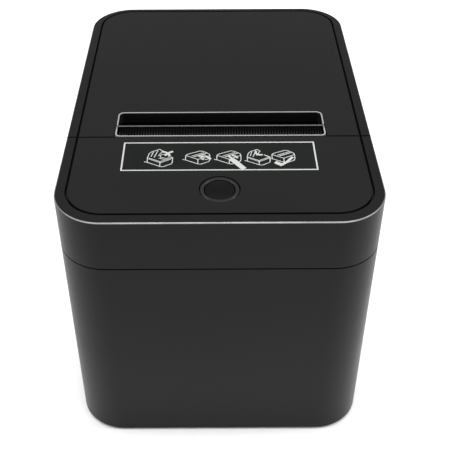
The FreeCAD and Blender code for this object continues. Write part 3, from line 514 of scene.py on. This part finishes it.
def camera():
    """The photograph's viewpoint: high in front of the printer, a little left of its middle."""
    place = Vector((-0.00225, -0.30518, 0.31061))
    pitch, yaw, roll = math.radians(38.08), math.radians(-0.095), math.radians(-0.349)
    data = bpy.data.cameras.new("camera")
    data.sensor_width = 36.0
    data.lens = 65.91
    data.shift_x, data.shift_y = 0.0278, -0.089
    data.clip_start, data.clip_end = 0.01, 50.0
    cam = bpy.data.objects.new("camera", data)
    bpy.context.scene.collection.objects.link(cam)
    ahead = math.cos(pitch)
    forward = Vector((math.sin(yaw) * ahead, math.cos(yaw) * ahead, -math.sin(pitch)))
    level = Vector((math.cos(yaw), -math.sin(yaw), 0.0))
    up = level.cross(forward)
    right = math.cos(roll) * level + math.sin(roll) * up
    up = -math.sin(roll) * level + math.cos(roll) * up
    cam.matrix_world = Matrix(
        (
            (right.x, up.x, -forward.x, place.x),
            (right.y, up.y, -forward.y, place.y),
            (right.z, up.z, -forward.z, place.z),
            (0, 0, 0, 1),
        )
    )
    bpy.context.scene.camera = cam


def lamp(name, kind, place, target=(0, 0, 0)):
    """A lamp at a place that shines towards a target. Returns its settings."""
    data = bpy.data.lights.new(name, kind)
    light = bpy.data.objects.new(name, data)
    bpy.context.scene.collection.objects.link(light)
    light.location = place
    light.rotation_euler = (Vector(target) - Vector(place)).to_track_quat("-Z", "Y").to_euler()
    return data


def area_light(name, place, target, size, power):
    data = lamp(name, "AREA", place, target)
    data.shape = "RECTANGLE"
    data.size, data.size_y = size
    data.energy = power


def overhead_light(strength, spread):
    """Even light from above, softened by the width of its source, in degrees."""
    data = lamp("overhead", "SUN", (0.0, 0.06, 1.0))
    data.energy = strength
    data.angle = math.radians(spread)


def glowing_world():
    """Surroundings that are bright low down and dimmer above."""
    world = bpy.data.worlds.new("studio")
    world.use_nodes = True
    tree = world.node_tree
    background = next(n for n in tree.nodes if n.type == "BACKGROUND")
    direction = tree.nodes.new("ShaderNodeTexCoord")
    height = tree.nodes.new("ShaderNodeSeparateXYZ")
    glow = tree.nodes.new("ShaderNodeValToRGB")
    for element, (at, value) in zip(glow.color_ramp.elements, ((0.12, 1.0), (0.34, 0.22))):
        element.position, element.color = at, (value, value, value, 1.0)
    tree.links.new(direction.outputs["Generated"], height.inputs["Vector"])
    tree.links.new(height.outputs["Z"], glow.inputs["Fac"])
    tree.links.new(glow.outputs["Color"], background.inputs["Color"])
    bpy.context.scene.world = world


def pale_floor(half_side):
    shader = Shader("floor", (0.92, 0.92, 0.92), 0.85, specular=0.1)
    shader.vary_color(shader.noise(2.0, 2.0), 0.01)
    mesh = bpy.data.meshes.new("floor")
    corners = [(half_side * x, half_side * y, 0) for x, y in ((-1, -1), (1, -1), (1, 1), (-1, 1))]
    mesh.from_pydata(corners, [], [(0, 1, 2, 3)])
    mesh.materials.append(shader.material)
    floor = bpy.data.objects.new("floor", mesh)
    bpy.context.scene.collection.objects.link(floor)


def studio():
    """Soft light from above and both sides, and a strip in front whose reflection adds to the rim's
    painted highlight.
    """
    bpy.context.scene.view_settings.view_transform = "Standard"
    glowing_world()
    middle = (0, 0, 0.06)
    overhead_light(strength=2.4, spread=16.0)
    area_light("front_strip", (0.0, -0.75, 1.7), (0, -0.08, 0.12), size=(2.2, 0.30), power=14.0)
    area_light("left_side", (-1.1, -0.1, 0.7), middle, size=(0.3, 0.9), power=5.0)
    area_light("right_side", (1.1, -0.1, 0.7), middle, size=(0.3, 0.9), power=7.5)
    pale_floor(half_side=12.0)


# ---------------------------------------------------------------- the label's print


def label_art(materials):
    """White print on the label: a border and five pictograms about changing the roll."""
    low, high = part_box("instruction_label")
    cx, cy = (low.x + high.x) / 2 / MM, (low.y + high.y) / 2 / MM
    border = 0.62
    half_w, half_h = (high.x - low.x) / MM / 2 - border / 2, (high.y - low.y) / MM / 2 - border / 2
    ink = Ink((0, 0, high.z), (1, 0, 0), (0, 1, 0), 0.015 * MM)
    corners = [(-half_w, -half_h), (half_w, -half_h), (half_w, half_h), (-half_w, half_h)]
    ink.stroke([(cx + x, cy + y) for x, y in corners], border, closed=True)
    # How far right of and above the label's centre each one is, its size and what it shows.
    pictograms = [
        (-23.2, -1.9, 1.02, (closed_bottom, open_top, roll_in_box, cross_mark)),
        (-8.5, -0.6, 0.98, (closed_bottom, closed_top, paper_out)),
        (3.7, -0.6, 0.98, (closed_bottom, closed_top, pointing_hand)),
        (15.3, -1.7, 0.92, (closed_bottom, open_top, paper_going_in)),
        (25.0, -0.2, 0.92, (closed_bottom, closed_top, check_mark)),
    ]
    for right, up, scale, parts in pictograms:
        for part in parts:
            for points, width in part():
                shifted = [(cx + right + scale * x, cy + up + scale * y) for x, y in points]
                ink.stroke(shifted, width)
    ink.make("label_print", materials["label_ink"], "casing", "label_film")


THIN = 0.34  # the width of most lines, in millimetres

# Each function below gives a list of lines for a drawing: the line's points, and its width.


def closed_bottom():
    """The lower edges, two sides and near corner of a small printer, and the table's edge."""
    return [
        ([(-5.9, -1.6), (-4.6, -2.1), (0.3, -4.7), (1.4, -4.9), (4.5, -3.1), (4.9, -2.0)], THIN),
        ([(-4.7, 1.0), (-4.7, -2.0)], THIN),
        ([(0.2, -1.7), (0.2, -4.7)], THIN),
        ([(4.9, 0.9), (4.9, -2.0)], THIN),
    ]


def closed_top():
    """The shut lid's outline, and the slot across it."""
    far_side = [(-4.7, 1.0), (-4.0, 1.8), (0.9, 4.0), (2.2, 3.8), (4.6, 2.0), (4.9, 0.9)]
    return [
        (far_side + [(0.2, -1.7), (-4.7, 1.0)], THIN),
        ([(-2.4, 0.5), (2.6, 2.9)], THIN),
        ([(-1.5, 0.0), (3.6, 2.4)], THIN * 1.3),
    ]


def open_top():
    """The lid stands open at the back, with ribs inside it."""
    return [
        ([(-4.7, 1.0), (0.2, -1.7), (4.9, 0.9), (3.2, 1.9)], THIN),
        ([(-4.3, 0.2), (0.3, -2.4), (4.5, 0.0)], THIN * 0.8),
        ([(-4.7, 1.0), (-4.2, 3.6), (-3.2, 4.9), (-0.3, 6.4), (0.9, 5.2), (-0.6, 2.0)], THIN),
        ([(-3.4, 1.6), (-2.6, 4.8)], THIN),
        ([(-2.2, 1.0), (-0.9, 5.6)], THIN),
    ]


def arc_points(x, y, radius, start, end, steps=10):
    angles = [math.radians(start + (end - start) * k / steps) for k in range(steps + 1)]
    return [(x + radius * math.cos(a), y + radius * math.sin(a)) for a in angles]


def roll_in_box():
    return [(arc_points(1.3, 1.9, 1.2, 20, 300), THIN), ([(-0.4, 0.6), (1.6, -0.2), (3.6, 1.0)], THIN)]


def cross_mark():
    return [([(0.8, 5.0), (2.4, 4.2), (3.9, 2.2)], 1.0), ([(4.9, 5.0), (3.6, 4.2), (1.8, 2.3)], 1.0)]


def paper_out():
    return [
        ([(0.4, 0.4), (2.4, 1.4), (5.3, -0.9), (3.4, -1.9), (0.4, 0.4)], THIN),
        ([(1.0, -0.2), (2.6, 0.5)], 0.8),
        ([(3.0, 0.4), (5.4, -1.5)], 0.7),
        ([(1.4, -1.2), (2.6, -2.0)], 0.5),
    ]


def pointing_hand():
    return [
        ([(-0.2, 0.6), (1.0, -0.6), (1.8, -2.4)], 0.9),
        ([(0.9, -1.4), (2.6, -3.4), (6.0, -8.2)], 2.2),
        ([(1.4, 0.8), (2.6, 0.5), (3.6, -1.0)], 0.8),
    ]


def paper_going_in():
    return [
        (arc_points(0.9, 4.3, 1.9, 150, 300, 8), 0.85),
        ([(2.4, 2.5), (3.6, 1.7), (4.6, 0.9)], 0.5),
    ]


def check_mark():
    return [([(-3.6, -4.4), (-0.7, -6.6)], 1.7), ([(-1.1, -6.5), (1.4, -4.3), (4.0, -0.8)], 1.1)]


# ---------------------------------------------------------------- springs and contacts


def button_coil(materials):
    """The spring under the button."""
    low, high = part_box("button_spring")
    tall = high.z - low.z
    wire = 0.5 * MM
    centre = (low + high) / 2
    start = Vector((centre.x, centre.y, low.z + wire / 2))
    coils = Tubes(12)
    coils.coil(start, Vector((0, 0, 1)), (high.x - low.x - wire) / 2, wire, tall - wire, 4)
    obj = coils.make("button_coil", materials["spring_steel"], "spring_steel")
    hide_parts("button_spring")
    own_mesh(obj)


def head_coils(materials):
    """The two springs that press the print head to the platen, held by the bar in front of them."""
    low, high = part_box("head_springs")
    long = high.y - low.y
    wire = 0.6 * MM
    reach = (high.z - low.z) / 2
    middle = (low.z + high.z) / 2
    coils = Tubes(12)
    for x in (low.x + reach, high.x - reach):
        start = Vector((x, low.y + wire / 2, middle))
        coils.coil(start, Vector((0, 1, 0)), reach - wire / 2, wire, long - wire, 5)
    obj = coils.make("head_coils", materials["spring_steel"], "spring_steel")
    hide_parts("head_springs")
    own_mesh(obj)


def jack_wires(node, count, name, materials):
    """The sprung gold wires of a modular jack, which slope back from its mouth."""
    low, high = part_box(node)
    x, z, rear = (low.x + high.x) / 2, (low.z + high.z) / 2, high.y
    pitch, roof = 1.02 * MM, z + 2.6 * MM
    # How far in from the mouth, and how far below the roof, in millimetres.
    route = [(8.0, 0.0), (2.6, 0.0), (1.9, 0.5), (2.3, 1.3), (6.6, 3.6)]
    tubes = Tubes(8)
    for k in range(count):
        at = x + (k - (count - 1) / 2) * pitch
        tubes.wire([(at, rear - depth * MM, roof - drop * MM) for depth, drop in route], 0.2 * MM)
    tubes.make(name, materials["gold_contact"], "motor_brass")


def power_pins(materials):
    """Three pins, evenly spaced round the socket's middle."""
    low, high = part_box("power_socket")
    x, z, rear = (low.x + high.x) / 2, (low.z + high.z) / 2, high.y
    circle = 2.4 * MM
    tubes = Tubes(14)
    for k in range(3):
        angle = math.radians(90 + 120 * k)
        px, pz = x + circle * math.cos(angle), z + circle * math.sin(angle)
        tubes.wire([(px, rear - 7.8 * MM, pz), (px, rear - 4.0 * MM, pz)], 0.68 * MM)
    tubes.make("power_pins", materials["gold_contact"], "motor_brass")


def bevelled_block(name, low, high, bevel, material, body):
    """A block with rounded edges, low and high being its corners."""
    mesh = bmesh.new()
    bmesh.ops.create_cube(mesh, size=1.0)
    for vert in mesh.verts:
        vert.co = [low[k] + (high[k] - low[k]) * (vert.co[k] + 0.5) for k in range(3)]
    bmesh.ops.bevel(mesh, geom=mesh.edges[:], offset=bevel, segments=3, profile=0.5, affect="EDGES")
    verts = [tuple(v.co) for v in mesh.verts]
    faces = [[v.index for v in f.verts] for f in mesh.faces]
    mesh.free()
    return piece(name, verts, faces, material, body, smooth=True)


def usb_tongue(materials):
    """The block inside the socket, with two contacts above it and two below."""
    low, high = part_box("usb_socket")
    x, z, rear = (low.x + high.x) / 2, (low.z + high.z) / 2, high.y
    half, tall, back = 2.8 * MM, 1.6 * MM, rear - 8.0 * MM
    bevelled_block(
        "usb_tongue",
        (x - half, back, z - tall),
        (x + half, rear - 1.2 * MM, z + tall),
        0.35 * MM,
        materials["socket_plastic"],
        "casing",
    )
    tubes = Tubes(8)
    for side in (-1, 1):
        for across in (-1.25, 1.25):
            at, level = x + across * MM, z + side * (tall + 0.05 * MM)
            tubes.wire([(at, back, level), (at, rear - 1.9 * MM, level)], 0.32 * MM)
    tubes.make("usb_contacts", materials["gold_contact"], "motor_brass")


def switch_marks(materials):
    """A bar and a ring on the rocker, for on and off."""
    mesh = nodes["switch_rocker"].data
    corners = [v.co for v in mesh.vertices]
    surface = BVHTree.FromPolygons(corners, [p.vertices[:] for p in mesh.polygons])
    low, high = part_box("switch_rocker")
    y, z = (low.y + high.y) / 2, (low.z + high.z) / 2
    bar = ((0.0, -1.3), (0.0, 1.3))
    ring = arc_points(0, 0, 1.3, 0, 360, 24)
    inward, right = Vector((-1, 0, 0)), Vector((0, 1, 0))
    for name, offset, points in (("switch_on_mark", -4.6, bar), ("switch_off_mark", 4.6, ring)):
        outside = Vector((high.x + 10 * MM, y, z + offset * MM))
        hit, normal, *_ = surface.ray_cast(outside, inward)
        ink = Ink(hit, right, normal.cross(right).normalized(), 0.03 * MM)
        ink.stroke(points, 0.35)
        ink.make(name, materials["label_ink"], "rocker", "label_film")


materials = build_materials()
dress_cad(materials)
label_art(materials)
jack_wires("drawer_socket", 6, "drawer_contacts", materials)
jack_wires("network_socket", 8, "network_contacts", materials)
power_pins(materials)
usb_tongue(materials)
switch_marks(materials)
button_coil(materials)
head_coils(materials)
camera()
studio()
